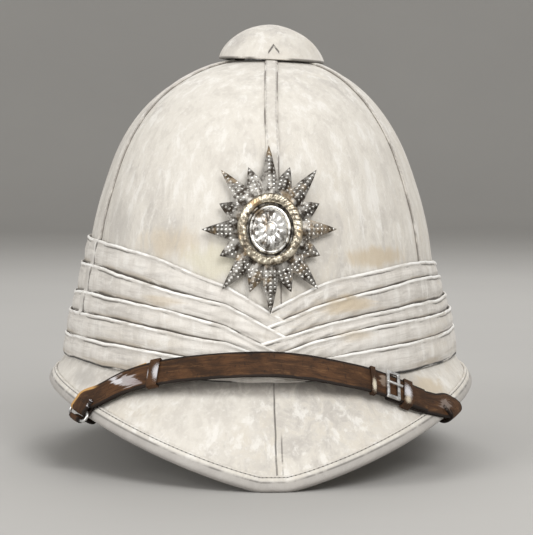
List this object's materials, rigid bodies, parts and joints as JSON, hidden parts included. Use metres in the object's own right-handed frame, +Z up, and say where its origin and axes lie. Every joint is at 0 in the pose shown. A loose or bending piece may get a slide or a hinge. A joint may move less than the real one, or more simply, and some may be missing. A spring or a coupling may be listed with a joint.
{
  "type": "pith helmet",
  "caption": "White cloth-covered tropical helmet with a pleated scarf band, leather strap over the peak, metal plate in front and a vent cap on top.",
  "frame": {"origin": "centre of the bounding box at the surface the helmet rests on", "axes": "+Z up as it rests on its peak and neck guard, front peak towards -Y, wearer's left towards +X"},
  "size_m": [0.2502, 0.356, 0.2506],
  "materials": {
    "white_cloth": "matte whitened drill cloth",
    "scarf_cloth": "matte muslin",
    "strap_leather": "worn brown",
    "steel": "worn plating",
    "silver": "darkened silver plate",
    "gilt": "worn gilt"
  },
  "bodies": {
    "root": {"crown_front_right": "white_cloth", "crown_right": "white_cloth", "crown_rear_right": "white_cloth", "crown_rear_left": "white_cloth", "crown_left": "white_cloth", "crown_front_left": "white_cloth", "brim": "white_cloth", "brim_binding": "white_cloth", "tape_front": "white_cloth", "tape_front_right": "white_cloth", "tape_rear_right": "white_cloth", "tape_rear": "white_cloth", "tape_rear_left": "white_cloth", "tape_front_left": "white_cloth", "puggaree": "scarf_cloth", "puggaree_join": "scarf_cloth", "ventilator_collar": "steel", "ventilator_dome": "white_cloth", "strap_long": "strap_leather", "strap_short": "strap_leather", "strap_inner_left": "strap_leather", "keeper_left": "strap_leather", "keeper_middle": "strap_leather", "keeper_right": "strap_leather", "buckle_frame": "steel", "buckle_prong": "steel", "strap_loop_left": "steel", "anchor_left": "steel", "anchor_right": "steel", "badge_back_bar": "steel", "badge_star": "silver", "badge_ring": "gilt", "badge_boss": "silver"}
  },
  "joints": []
}
